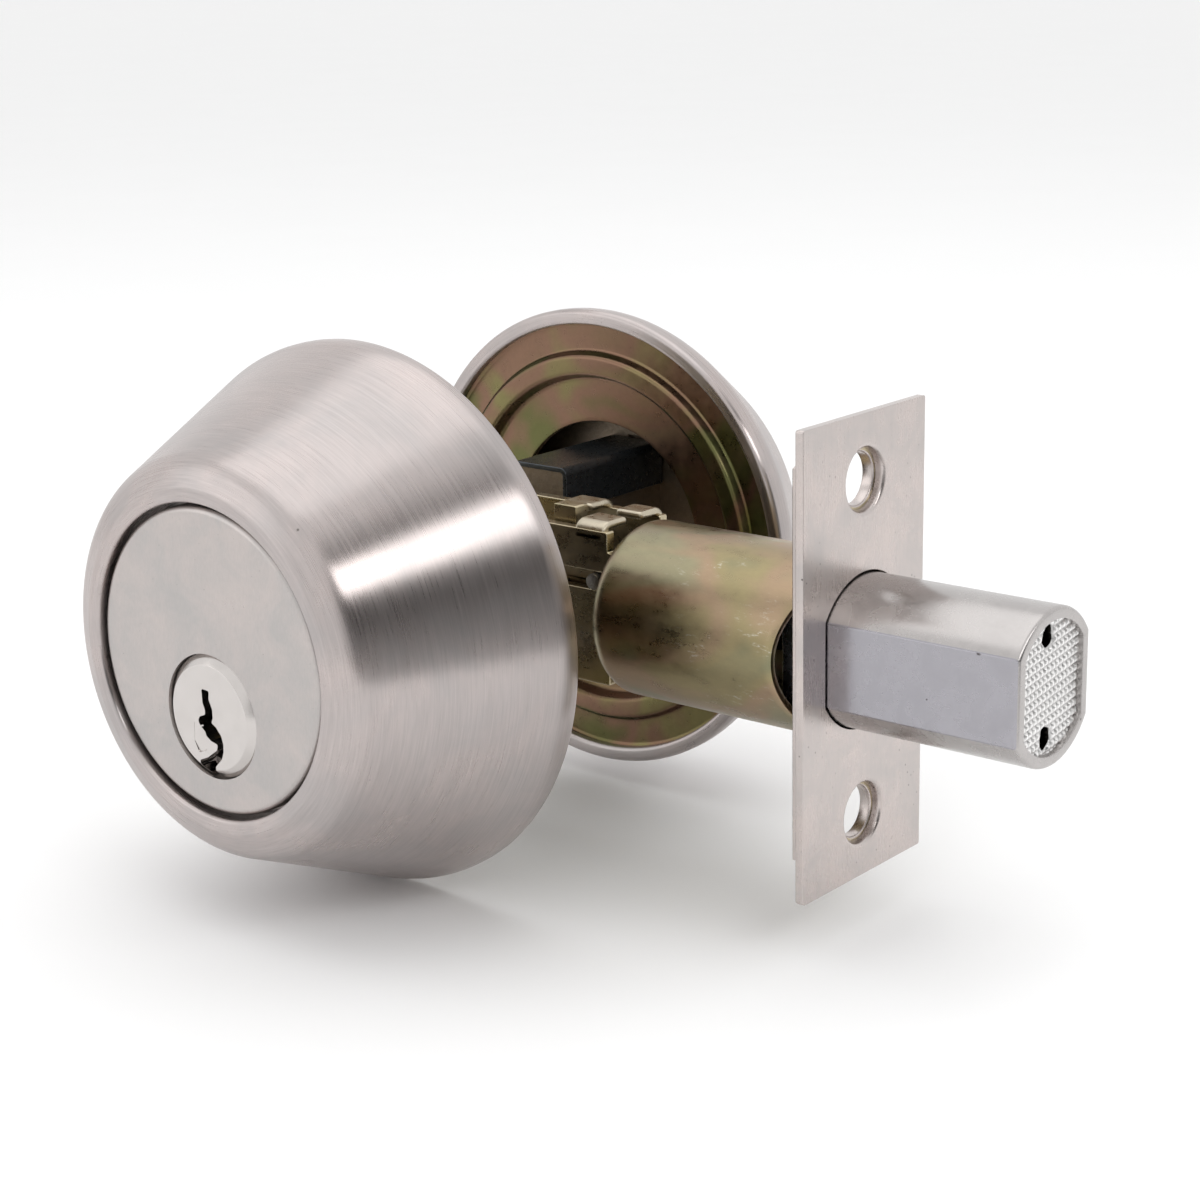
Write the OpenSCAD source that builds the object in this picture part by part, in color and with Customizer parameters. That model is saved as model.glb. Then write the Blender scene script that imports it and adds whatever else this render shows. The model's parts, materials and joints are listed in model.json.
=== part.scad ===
// Double-cylinder tubular deadbolt, with the bolt thrown.
// The origin is the centre of the faceplate's front face, flush with the door's edge.
// +X points out of the edge along the bolt, -Y to the outside of the door, +Z up.
// The modules are laid out about the cylinders' axis, and place() moves them to the origin.

/* [Door] */
// Door thickness between the two collars
door_t = 44.4; // [38:0.1:51]
// Backset, from the cylinder axis to the face of the faceplate
backset = 60.3; // [60:0.1:70]

/* [Collars] */
// Diameter of the outside collar at the door
outer_collar_d = 69.8; // [66:0.1:74]
// Height of the outside collar above the door
outer_collar_h = 27.9; // [26:0.1:32]
// Diameter of the inside collar at the door
inner_collar_d = 65; // [62:0.1:70]
// Height of the inside collar above the door
inner_collar_h = 17.2; // [17:0.1:24]
// Sheet thickness of the collars
collar_t = 1.2; // [1:0.1:1.3]
// Bore of the rolled lip around the cylinder face
lip_d = 39; // [38.8:0.1:40]

/* [Key cylinders] */
// Diameter of the cylinder face
face_d = 38.1; // [37:0.1:38.4]
// Distance of the plug and hub axis below the bolt axis
drop = 6.8; // [6.6:0.1:7]
// Diameter of the key plug
plug_d = 12.7; // [12.4:0.1:13]
// Diameter of the bevelled plug head
plug_head_d = 15.4; // [15:0.1:16]
// Length of the cylinder behind its face
barrel_l = 27.5; // [27:0.1:28]
// Number of pin stacks
pin_count = 5; // [4:1:5]

/* [Latch] */
// Diameter of the latch tube
tube_d = 22.5; // [22:0.1:24]
// Depth of the tube's closed end behind the faceplate
tube_l = 34; // [33:0.1:35]
// Diameter of the round sides of the bolt
bolt_d = 18.8; // [18:0.1:19]
// Width of the bolt across its two flats
bolt_w = 15.8; // [15:0.1:16.4]
// Bolt throw
throw = 25.4; // [25:0.1:25.4]
// Width of the faceplate
plate_w = 25.4; // [25:0.1:28.6]
// Height of the faceplate
plate_h = 57.2; // [56:0.1:60]
// Distance between the faceplate screw holes
screw_pitch = 41.3; // [40:0.1:42]

/* [Hidden] */

$fn = 64;
half_door = door_t / 2;
fit = 0.05;                 // running gap of a fitted pair, on the radius
gap = 0.3;                  // clear gap between bodies
cut = 1;                    // how far a cutting solid runs past a face

// collar section
base_r = 5;                 // rounding where the cone leaves the door
shoulder_r = 4;             // rounding where the cone meets the lip
lip_r = 1.5;                // rounding of the rolled lip
lip_depth = 3.95;           // how far the lip turns in
rim_w = 2.1;                // width of the rolled rim against the door
rim_h = 1.2;
arc_steps = 8;

// backing plate section
ring_t = 1.2;
ring_draw_in = 0.35;
ring_hole_r = 16.5;
bead_in_r = 23;
bead_out_r = 26.2;
ring_y = 1.7;               // door side of the outer ring, above the door
bead_y = 0.3;               // door side of the raised bead
well_y = 2.5;               // door side of the inner ring

// key cylinder
face_sink = 0.6;            // face below the top of the lip
face_t = 5;
face_round = 0.9;
flange_r = 21;              // shoulder that the lip bears on
flange_t = 1.6;
barrel_r = 8.9;
housing_w = 8.4;            // pin housing width
housing_top = 12.2;
plug_r = plug_d / 2;
head_t = 2.2;
plug_tail = 1.8;            // plug length behind the barrel
pin_r = 1.45;
pin_first = 7;
pin_pitch = 3.9;
pin_drop = [4.9, 5.8, 4.4, 5.4, 5.0];   // key pin lengths
driver_l = 5.4;
spring_wire_r = 0.18;
spring_turns = 4;
cover_t = 0.7;
post_r = 3.8;
post_end = 23;
screw_x = 13.2;
screw_z = -4;
screw_r = 2.1;
screw_head_r = 3.7;

// tail bar and hub
bar_w = 7;
bar_t = 2.2;
hub_r = 5.5;
crank_r = throw / 2 / sin(45);
crank_pin_r = 2;
notch_play = 0.8;           // play each side of the crank pin

// latch
trim_t = 1.1;
sink_h = 0.6;               // depth of the dimple round each screw hole
back_t = 1.6;
tube_r = tube_d / 2;
tube_wall = 0.9;
tube_x0 = backset - tube_l;
tube_x1 = backset - trim_t - back_t;
frame_t = 1.5;
frame_y = 4.6;              // inner face of each frame plate from the middle
frame_top = 10.6;
frame_bottom = -9.4;
frame_rear = -20;
frame_front = tube_x0 + 1.6;
lobe_r = 10.2;
slot_z = 4.1;
slot_h = 2.4;
guide_x = 24;
rivet_x = [-17.4, 18];
rivet_z = -6.9;
hub_plate_r = 6.6;
leaf_z = -drop - hub_plate_r - gap;
leaf_t = 0.5;
bolt_l = 32;
bolt_tip = backset + throw;
bolt_rear = bolt_tip - bolt_l;
tail_y0 = -3.9;
tail_t = 2.5;
tail_z0 = -0.9;
tail_z1 = 6;
tail_rear = throw / 2 - 6.6;
prong_top = 12.6;
guide_r = 1.03;
bar_rivet_r = 1.5;
bar_rivet_x = bolt_rear + 3.5;
bar_rivet_z = 2.5;
hard_pin_y = [-3.8, 3.8];
hard_pin_z = -4.2;

// ---------- helpers ----------

// moves a part from the cylinders' axis, where it is laid out, to the faceplate
module place() { translate([-backset, 0, 0]) children(); }

// a flat outline in X and Z, thick along Y
module slab_y(y0, y1) {
    translate([0, y1, 0]) rotate([90, 0, 0]) linear_extrude(y1 - y0) children();
}

// a flat outline in Y and Z, thick along X
module slab_x(x0, x1) {
    translate([x0, 0, 0]) rotate([90, 0, 90]) linear_extrude(x1 - x0) children();
}

// a rod along Y
module rod_y(r, y0, y1, x = 0, z = 0) {
    translate([x, y1, z]) rotate([90, 0, 0]) cylinder(r = r, h = y1 - y0);
}

// a rod along X
module rod_x(r, x0, x1, y = 0, z = 0) {
    translate([x0, y, z]) rotate([0, 90, 0]) cylinder(r = r, h = x1 - x0);
}

// a frame whose +Y runs inwards from the outside or the inside door face
module outer_side(h) { translate([0, -half_door - h, 0]) children(); }
module inner_side(h) { rotate([0, 0, 180]) outer_side(h) children(); }

// a section in radius and height, turned about Y so that height points out of the door
module turned_out() { translate([0, -half_door, 0]) rotate([90, 0, 0]) rotate_extrude() children(); }
module turned_in() { rotate([0, 0, 180]) turned_out() children(); }

function arc(c, r, a0, a1, n = arc_steps) =
    [for (i = [0 : n]) let (a = a0 + (a1 - a0) * i / n) c + r * [cos(a), sin(a)]];

// angle of the outward normal of the line that touches two circles
function tangent(c1, r1, c2, r2) =
    let (v = c2 - c1) atan2(v[1], v[0]) - acos((r1 - r2) / norm(v));

// ---------- collars ----------

// one face of the collar sheet, d below the outside, from the door to the lip's inner end
function collar_path(r, h, d) =
    let (c1 = [r - base_r, 1.4],
         c2 = [lip_d / 2 + 2, h - lip_r - 2.9],
         c3 = [lip_d / 2 + lip_r, h - lip_r],
         a1 = tangent(c1, base_r, c2, shoulder_r),
         a2 = tangent(c2, shoulder_r, c3, lip_r))
    concat(arc(c1, base_r - d, 0, a1), arc(c2, shoulder_r - d, a1, a2),
        arc(c3, lip_r - d, a2, 180));

module collar_section(r, h) {
    outside = concat([[r, 0]], collar_path(r, h, 0), [[lip_d / 2, h - lip_depth]]);
    inside = collar_path(r, h, collar_t);
    back = concat([[lip_d / 2 + collar_t, h - lip_depth]],
        [for (i = [len(inside) - 1 : -1 : 0]) inside[i]],
        [[r - collar_t, rim_h], [r - rim_w, rim_h], [r - rim_w, 0]]);
    polygon(concat(outside, back));
}

module outer_collar() {
    color([0.72, 0.70, 0.69]) place() turned_out() collar_section(outer_collar_d / 2, outer_collar_h);
}

module inner_collar() {
    color([0.72, 0.70, 0.69]) place() turned_in() collar_section(inner_collar_d / 2, inner_collar_h);
}

// pressed steel ring: outer flat, raised bead, inner flat round the hole
module backing_section(r) {
    edge = r - collar_t - fit;
    ramp = 0.8;
    door_side = [[edge, rim_h + fit], [r - rim_w - gap, ring_y], [bead_out_r, ring_y],
        [bead_out_r - ramp, bead_y], [bead_in_r + ramp, bead_y], [bead_in_r, well_y],
        [ring_hole_r, well_y]];
    // the far edge is drawn in, clear of the collar's curved wall
    far_side = [for (i = [len(door_side) - 1 : -1 : 0])
        door_side[i] + [i == 0 ? -ring_draw_in : 0, ring_t]];
    polygon(concat(door_side, far_side));
}

module outer_backing_plate() {
    color([0.60, 0.55, 0.38]) place() turned_out() backing_section(outer_collar_d / 2);
}

module inner_backing_plate() {
    color([0.60, 0.55, 0.38]) place() turned_in() backing_section(inner_collar_d / 2);
}

// ---------- key cylinders (local +Y runs inwards from the cylinder face) ----------

module face_section() {
    r = face_d / 2;
    polygon(concat([[0, 0], [0, -face_t - flange_t], [flange_r, -face_t - flange_t],
        [flange_r, -face_t + flange_t], [r, -face_t + flange_t]],
        arc([r - face_round, -face_round], face_round, 0, 90)));
}

module housing_outline(grow = 0) {
    w = housing_w + 2 * grow;
    translate([-w / 2, -drop]) square([w, housing_top + drop + grow]);
}

module pin_places() {
    for (i = [0 : pin_count - 1]) translate([0, pin_first + i * pin_pitch, -drop]) children();
}

module cylinder_blank() {
    rotate([90, 0, 0]) rotate_extrude() face_section();
    rod_y(barrel_r, face_t, barrel_l, 0, -drop);
    slab_y(face_t, barrel_l) housing_outline();
}

module plug_bores() {
    rod_y(plug_r + fit, -cut, barrel_l + cut, 0, -drop);
    rod_y(plug_head_d / 2 + 0.1, -cut, head_t + fit, 0, -drop);
    pin_places() cylinder(r = pin_r + fit, h = housing_top + drop + cut);
}

module screw_places() {
    for (side = [-1, 1]) translate([side * screw_x, 0, screw_z]) children();
}

module outer_body_local() {
    difference() {
        union() {
            cylinder_blank();
            screw_places() rod_y(post_r, face_t, post_end);
        }
        plug_bores();
        screw_places() rod_y(screw_r, post_end - 13, post_end + cut);
    }
}

module inner_body_local() {
    difference() {
        cylinder_blank();
        plug_bores();
        screw_places() rod_y(screw_r + 0.2, -cut, face_t + flange_t + cut);
        screw_places() rod_y(screw_head_r + 0.2, -cut, 2.35);
    }
}

// warded slot of the key, in X and Z about the plug axis
module keyway_outline() {
    polygon([[-0.9, 3.6], [0.4, 3.6], [0.4, 1.0], [-0.2, 0.4], [-0.2, -0.4], [1.5, -2.3],
        [1.5, -3.4], [0.4, -4.2], [0.8, -5.2], [0.8, -8.4], [-1.6, -8.4], [-1.6, -4.4],
        [-0.7, -3.4], [-0.7, -2.4], [-1.9, -0.6], [-1.9, 0.5], [-0.9, 1.3]]);
}

module plug_local(tail_slot) {
    head_r = plug_head_d / 2;
    bevel = 1.1;
    translate([0, 0, -drop]) difference() {
        union() {
            rod_y(plug_r, 0, barrel_l + plug_tail);
            rotate([90, 0, 0]) rotate_extrude()
                polygon([[0, -head_t], [head_r, -head_t], [head_r, -bevel / 2],
                    [head_r - bevel, bevel / 3], [0, bevel / 3]]);
        }
        slab_y(-cut, barrel_l - 3) keyway_outline();
        slab_y(barrel_l - 3, barrel_l + plug_tail + cut)
            square([bar_t + 2 * tail_slot, bar_w + 2 * tail_slot], center = true);
        translate([0, 0, drop]) pin_places() cylinder(r = pin_r + fit, h = plug_r + cut);
        difference() {
            rod_y(plug_r + cut, barrel_l + fit, barrel_l + 1.05);
            rod_y(plug_r - 0.9, barrel_l - cut, barrel_l + 2);
        }
    }
}

module key_pins_local() {
    pin_top = plug_r - 0.2;
    for (i = [0 : pin_count - 1])
        translate([0, pin_first + i * pin_pitch, -drop + pin_top - pin_drop[i]]) {
            cylinder(r1 = 0.5, r2 = pin_r, h = 1);
            translate([0, 0, 1]) cylinder(r = pin_r, h = pin_drop[i] - 1);
        }
}

driver_z = plug_r + 0.12;

module driver_pins_local() {
    pin_places() translate([0, 0, driver_z]) cylinder(r = pin_r, h = driver_l);
}

// coil spring: a small round wire carried along a helix
module coil_spring(r, h, turns) {
    sides = 5;
    per_turn = 10;
    steps = turns * per_turn;
    ring = [for (k = [0 : sides - 1]) spring_wire_r * [cos(360 * k / sides), sin(360 * k / sides)]];
    points = [for (s = [0 : steps], p = ring)
        let (a = 360 * s / per_turn) [(r + p[0]) * cos(a), (r + p[0]) * sin(a),
            spring_wire_r + (h - 2 * spring_wire_r) * s / steps + p[1]]];
    walls = [for (s = [0 : steps - 1], k = [0 : sides - 1])
        let (n = (k + 1) % sides, b = s * sides) [b + k, b + k + sides, b + n + sides, b + n]];
    ends = [[for (k = [0 : sides - 1]) k], [for (k = [sides - 1 : -1 : 0]) steps * sides + k]];
    polyhedron(points, concat(walls, ends));
}

module pin_springs_local() {
    spring_z = driver_z + driver_l + fit;
    spring_h = housing_top + drop - spring_z - fit;
    pin_places() translate([0, 0, spring_z])
        coil_spring(pin_r - spring_wire_r - fit, spring_h, spring_turns);
}

// bent sheet that slides over the pin housing and keeps the springs in
module pin_cover_local() {
    skirt = 5.2;
    slab_y(face_t + flange_t + gap, barrel_l + 0.4) difference() {
        housing_outline(cover_t + 0.03);
        housing_outline(0.03);
        translate([-housing_w, -drop]) square([2 * housing_w, housing_top + drop - skirt]);
    }
}

module plug_clip_local() {
    translate([0, 0, -drop]) slab_y(barrel_l + 0.1, barrel_l + 0.9) difference() {
        circle(r = plug_r + 1.5);
        circle(r = plug_r - 0.85);
        translate([-2.5, -3 * plug_r]) square([5, 3 * plug_r]);
    }
}

outer_face = outer_collar_h - face_sink;
inner_face = inner_collar_h - face_sink;

module outer_cylinder_body() { color([0.74, 0.73, 0.72]) place() outer_side(outer_face) outer_body_local(); }
module inner_cylinder_body() { color([0.74, 0.73, 0.72]) place() inner_side(inner_face) inner_body_local(); }
module outer_key_plug() { color([0.85, 0.83, 0.79]) place() outer_side(outer_face) plug_local(0.02); }
module inner_key_plug() { color([0.85, 0.83, 0.79]) place() inner_side(inner_face) plug_local(0.3); }
module outer_key_pins() { color([0.80, 0.66, 0.36]) place() outer_side(outer_face) key_pins_local(); }
module inner_key_pins() { color([0.80, 0.66, 0.36]) place() inner_side(inner_face) key_pins_local(); }
module outer_driver_pins() { color([0.80, 0.66, 0.36]) place() outer_side(outer_face) driver_pins_local(); }
module inner_driver_pins() { color([0.80, 0.66, 0.36]) place() inner_side(inner_face) driver_pins_local(); }
module outer_pin_springs() { color([0.7, 0.7, 0.72]) place() outer_side(outer_face) pin_springs_local(); }
module inner_pin_springs() { color([0.7, 0.7, 0.72]) place() inner_side(inner_face) pin_springs_local(); }
module outer_pin_cover() { color([0.25, 0.26, 0.28]) place() outer_side(outer_face) pin_cover_local(); }
module inner_pin_cover() { color([0.25, 0.26, 0.28]) place() inner_side(inner_face) pin_cover_local(); }
module outer_plug_clip() { color([0.5, 0.5, 0.5]) place() outer_side(outer_face) plug_clip_local(); }
module inner_plug_clip() { color([0.5, 0.5, 0.5]) place() inner_side(inner_face) plug_clip_local(); }

// ---------- parts that join the two sides ----------

module tail_bar() {
    y0 = -half_door - outer_face + barrel_l - 2.9;
    y1 = half_door + inner_face - barrel_l + 1.5;
    color([0.55, 0.55, 0.56]) place() translate([0, 0, -drop]) slab_y(y0, y1)
        square([bar_t, bar_w], center = true);
}

module through_screws() {
    head_y = half_door + inner_face - 0.3;
    tip_y = -half_door - outer_face + post_end - 11.5;
    color([0.62, 0.60, 0.55]) place() screw_places() difference() {
        union() {
            rod_y(screw_r - fit / 2, tip_y, head_y - 1);
            rod_y(screw_head_r, head_y - 2, head_y);
        }
        slab_y(head_y - 1.2, head_y + cut) square([1.1, 4.6], center = true);
        slab_y(head_y - 1.2, head_y + cut) square([4.6, 1.1], center = true);
    }
}

// ---------- latch ----------

module plate_holes(r, x0, x1) {
    for (side = [-1, 1]) rod_x(r, x0, x1, 0, side * screw_pitch / 2);
}

// the bolt's section in Y and Z: round above and below, flat on both sides
module bolt_outline(grow = 0) {
    intersection() {
        circle(r = bolt_d / 2 + grow);
        square([bolt_w + 2 * grow, bolt_d + 2 * grow + 1], center = true);
    }
}

module faceplate() {
    x0 = backset - trim_t;
    color([0.73, 0.71, 0.69]) place() difference() {
        slab_x(x0, backset) square([plate_w, plate_h], center = true);
        slab_x(x0 - cut, backset + cut) bolt_outline(0.35);
        plate_holes(3.2, x0 - cut, backset + cut);
        for (side = [-1, 1]) translate([backset - sink_h, 0, side * screw_pitch / 2])
            rotate([0, 90, 0]) cylinder(r1 = 3.2, r2 = 4, h = sink_h + 0.01);
    }
}

module faceplate_back() {
    x0 = backset - trim_t - back_t;
    x1 = backset - trim_t;
    color([0.55, 0.47, 0.33]) place() difference() {
        slab_x(x0, x1) intersection() {
            square([plate_w - 3.2, plate_h - 6], center = true);
            circle(r = plate_h / 2 - 2.4);
        }
        slab_x(x0 - cut, x1 + cut) bolt_outline(0.35);
        plate_holes(3.2, x0 - cut, x1 + cut);
    }
}

// drawn cup: rounded closed end with a window for the frame, saddle cut at the plate
module latch_tube() {
    end_round = 2.6;
    outer = concat([[0, 0]], arc([tube_r - end_round, end_round], end_round, -90, 0),
        [[tube_r, tube_x1 - tube_x0]]);
    inner = concat([[tube_r - tube_wall, tube_x1 - tube_x0]],
        arc([tube_r - end_round, end_round], end_round - tube_wall, 0, -90), [[0, tube_wall]]);
    saddle_r = 11.6;
    color([0.68, 0.63, 0.47]) place() difference() {
        translate([tube_x0, 0, 0]) rotate([0, 90, 0]) rotate_extrude() polygon(concat(outer, inner));
        slab_x(tube_x0 - cut, tube_x0 + end_round)
            square([2 * (frame_y + frame_t + gap), 2 * 8.2], center = true);
        rod_y(saddle_r, -2 * tube_r, 2 * tube_r, tube_x1 + saddle_r - 2.9, 0);
    }
}

// side plate of the frame, as an outline in X and Z
module frame_outline() {
    difference() {
        union() {
            translate([frame_rear, frame_bottom])
                square([tube_x0 - gap - frame_rear, frame_top - frame_bottom]);
            translate([tube_x0 - 4, -8]) square([frame_front - tube_x0 + 4, 16]);
            translate([0, -drop]) circle(r = lobe_r);
        }
        translate([0, -drop]) circle(r = hub_r + fit);
        translate([-3, slot_z - slot_h / 2]) square([guide_x + 4.4, slot_h]);
        translate([-4.6, leaf_z - leaf_t - fit]) square([9.2, leaf_t + 2 * fit]);
        for (side = [-1, 1]) translate([side * screw_x, screw_z]) circle(r = screw_r + gap);
        for (x = rivet_x) translate([x, rivet_z]) circle(r = 1.25);
    }
}

// one plate with top tabs folded towards the middle; side -1 is the outside one
module frame_plate(side, tabs) {
    tab_reach = 4.9;
    y_in = side * frame_y;
    y_out = side * (frame_y + frame_t);
    tab_y = side < 0 ? y_out : y_out - tab_reach;
    slab_y(min(y_in, y_out), max(y_in, y_out)) frame_outline();
    for (tab = tabs) translate([tab[0], tab_y, frame_top - fit])
        cube([tab[1] - tab[0], tab_reach, frame_t]);
}

module near_frame_plate() { color([0.62, 0.57, 0.42]) place() frame_plate(-1, [[20.6, 25.4]]); }
module far_frame_plate() { color([0.62, 0.57, 0.42]) place() frame_plate(1, [[12.6, 17.4], [21.4, 25.6]]); }

module frame_rivets() {
    upset = 1;
    face = frame_y + frame_t;
    color([0.6, 0.57, 0.5]) place() for (x = rivet_x) {
        rod_y(1.2, -face - upset, face + upset, x, rivet_z);
        rod_y(2.1, -frame_y + fit, frame_y - fit, x, rivet_z);
        rod_y(2, -face - upset, -face - fit / 2, x, rivet_z);
        rod_y(2, face + fit / 2, face + upset, x, rivet_z);
    }
}

// hub with a crank arm, drawn with the bolt thrown: the arm leans 45 degrees to the bolt;
// the two flats rest on the leaf spring when the bolt is thrown and when it is drawn back
module hub_crank() {
    arm_y0 = -1;
    arm_y1 = 2;
    flat_r = hub_plate_r - 0.5;
    pin = [crank_r * sin(45), -drop + crank_r * cos(45)];
    color([0.58, 0.56, 0.52]) place() difference() {
        union() {
            rod_y(hub_r, -frame_y - frame_t, frame_y + frame_t, 0, -drop);
            slab_y(arm_y0, arm_y1) {
                difference() {
                    translate([0, -drop]) circle(r = hub_plate_r);
                    translate([-2 * flat_r, -drop - 3 * flat_r]) square([4 * flat_r, 2 * flat_r]);
                    translate([-3 * flat_r, -drop - 2 * flat_r]) square([2 * flat_r, 4 * flat_r]);
                }
                translate(pin) circle(r = 3.1);
                translate([0, -drop]) rotate(-45) translate([-3.1, 0]) square([6.2, crank_r]);
            }
            rod_y(crank_pin_r, tail_y0 - gap, arm_y0 + cut, pin[0], pin[1]);
        }
        translate([0, 0, -drop]) slab_y(-2 * frame_y, 2 * frame_y)
            square([bar_t + 0.4, bar_w + 0.4], center = true);
    }
}

// leaf spring under the hub, its ends held in windows of the two frame plates
module detent_spring() {
    reach = frame_y + frame_t + 0.3;
    color([0.45, 0.46, 0.5]) place() translate([-4.5, -reach, leaf_z - leaf_t]) cube([9, 2 * reach, leaf_t]);
}

module bolt() {
    rim = 1.5;
    face_depth = 0.9;
    chamfer = 0.9;
    pocket_l = 14;
    slot_r = 0.8;
    color([0.66, 0.67, 0.69]) place() difference() {
        union() {
            slab_x(bolt_rear, bolt_tip - chamfer) bolt_outline();
            intersection() {
                slab_x(bolt_tip - chamfer, bolt_tip) bolt_outline();
                translate([bolt_tip - chamfer, 0, 0]) rotate([0, 90, 0])
                    cylinder(r1 = bolt_d / 2, r2 = bolt_d / 2 - chamfer / 2, h = chamfer);
            }
        }
        slab_x(bolt_tip - face_depth, bolt_tip + cut) bolt_outline(-rim);
        slab_x(bolt_rear - cut, bolt_rear + pocket_l) translate([tail_y0 - fit, tail_z0 - fit])
            square([tail_t + 2 * fit, tail_z1 - tail_z0 + 2 * fit]);
        rod_y(bar_rivet_r + 0.02, -bolt_d, bolt_d, bar_rivet_x, bar_rivet_z);
        for (side = [-1, 1], dz = [-0.8, 0.8])
            rod_x(slot_r, bolt_tip - 3, bolt_tip + cut, 0, side * 5.9 + dz);
        for (side = [-1, 1]) slab_x(bolt_tip - 3, bolt_tip + cut) translate([0, side * 5.9])
            square([2 * slot_r, 1.6], center = true);
        for (y = hard_pin_y) rod_x(1.7, bolt_rear - cut, bolt_tip - 6, y, hard_pin_z);
    }
}

// flat tail with an upward notch that takes the crank pin
module bolt_bar() {
    notch_w = 2 * (crank_pin_r + notch_play);
    notch_x = throw / 2;
    wall = 3.6;
    color([0.60, 0.58, 0.52]) place() slab_y(tail_y0, tail_y0 + tail_t) difference() {
        union() {
            translate([tail_rear, tail_z0]) square([bolt_rear + 13.5 - tail_rear, tail_z1 - tail_z0]);
            translate([tail_rear, tail_z0])
                square([notch_x + notch_w / 2 + wall - tail_rear, prong_top - tail_z0]);
        }
        translate([notch_x - notch_w / 2, 3.2]) square([notch_w, prong_top]);
        translate([guide_x, slot_z]) circle(r = guide_r + 0.02);
        translate([bar_rivet_x, bar_rivet_z]) circle(r = bar_rivet_r + 0.02);
    }
}

module guide_pin() {
    reach = frame_y + frame_t + 0.6;
    color([0.6, 0.6, 0.6]) place() rod_y(guide_r, -reach, reach, guide_x, slot_z);
}

module bar_rivet() {
    reach = bolt_w / 2 - 0.2;
    color([0.6, 0.6, 0.6]) place() rod_y(bar_rivet_r, -reach, reach, bar_rivet_x, bar_rivet_z);
}

module hardened_pins() {
    color([0.4, 0.4, 0.42]) place() for (y = hard_pin_y)
        rod_x(1.66, bolt_rear + 0.5, bolt_tip - 6.2, y, hard_pin_z);
}

outer_collar();
inner_collar();
outer_backing_plate();
inner_backing_plate();
outer_cylinder_body();
inner_cylinder_body();
outer_key_plug();
inner_key_plug();
outer_key_pins();
inner_key_pins();
outer_driver_pins();
inner_driver_pins();
outer_pin_springs();
inner_pin_springs();
outer_pin_cover();
inner_pin_cover();
outer_plug_clip();
inner_plug_clip();
tail_bar();
through_screws();
latch_tube();
faceplate();
faceplate_back();
near_frame_plate();
far_frame_plate();
frame_rivets();
hub_crank();
detent_spring();
bolt();
bolt_bar();
guide_pin();
bar_rivet();
hardened_pins();
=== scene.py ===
import json
import math

import bmesh
import bpy
import numpy as np
from mathutils import Matrix, Vector


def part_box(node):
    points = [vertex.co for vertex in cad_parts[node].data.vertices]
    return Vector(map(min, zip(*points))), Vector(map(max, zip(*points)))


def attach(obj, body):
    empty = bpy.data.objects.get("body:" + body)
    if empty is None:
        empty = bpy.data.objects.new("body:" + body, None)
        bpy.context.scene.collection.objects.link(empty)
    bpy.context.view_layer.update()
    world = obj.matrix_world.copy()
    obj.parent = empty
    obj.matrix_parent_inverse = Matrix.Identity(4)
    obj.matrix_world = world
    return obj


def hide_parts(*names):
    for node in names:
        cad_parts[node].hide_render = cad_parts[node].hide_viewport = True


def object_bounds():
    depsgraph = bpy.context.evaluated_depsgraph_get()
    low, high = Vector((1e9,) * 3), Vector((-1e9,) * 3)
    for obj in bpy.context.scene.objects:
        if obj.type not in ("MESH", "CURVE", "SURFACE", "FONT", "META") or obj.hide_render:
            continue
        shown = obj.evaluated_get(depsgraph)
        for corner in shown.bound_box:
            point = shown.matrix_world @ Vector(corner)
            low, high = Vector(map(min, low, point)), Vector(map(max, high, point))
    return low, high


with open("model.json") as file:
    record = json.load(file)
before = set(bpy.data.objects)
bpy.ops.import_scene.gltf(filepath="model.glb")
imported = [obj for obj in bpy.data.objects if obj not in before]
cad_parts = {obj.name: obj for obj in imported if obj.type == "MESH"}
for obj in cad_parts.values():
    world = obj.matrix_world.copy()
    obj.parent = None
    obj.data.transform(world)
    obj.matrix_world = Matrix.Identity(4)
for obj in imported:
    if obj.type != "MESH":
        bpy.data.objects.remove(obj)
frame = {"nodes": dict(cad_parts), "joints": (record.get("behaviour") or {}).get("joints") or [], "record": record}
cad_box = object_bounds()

# Lengths in the builders are millimetres in the part's own frame; MM turns them into metres.
MM = 0.001
KEY_JOINT = next(j for j in frame["joints"] if j["name"] == "outer_key_turn")
AXIS_X, _, AXIS_Z = (v / MM for v in KEY_JOINT["pos_m"])


def box_mm(node):
    """Lowest and highest corner of a CAD node, in mm."""
    low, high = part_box(node)
    return np.array(low) / MM, np.array(high) / MM


# ---------- outlines and sections ----------


def arc(centre, radius, a0, a1, n):
    """Points of an arc, angles in degrees."""
    t = np.radians(np.linspace(a0, a1, n + 1))
    return np.column_stack([centre[0] + radius * np.cos(t), centre[1] + radius * np.sin(t)])


def tangent_angle(c1, r1, c2, r2):
    """Angle of the outward normal of the line that touches two circles, in degrees."""
    v = np.subtract(c2, c1)
    return math.degrees(math.atan2(v[1], v[0]) - math.acos((r1 - r2) / np.hypot(*v)))


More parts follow.
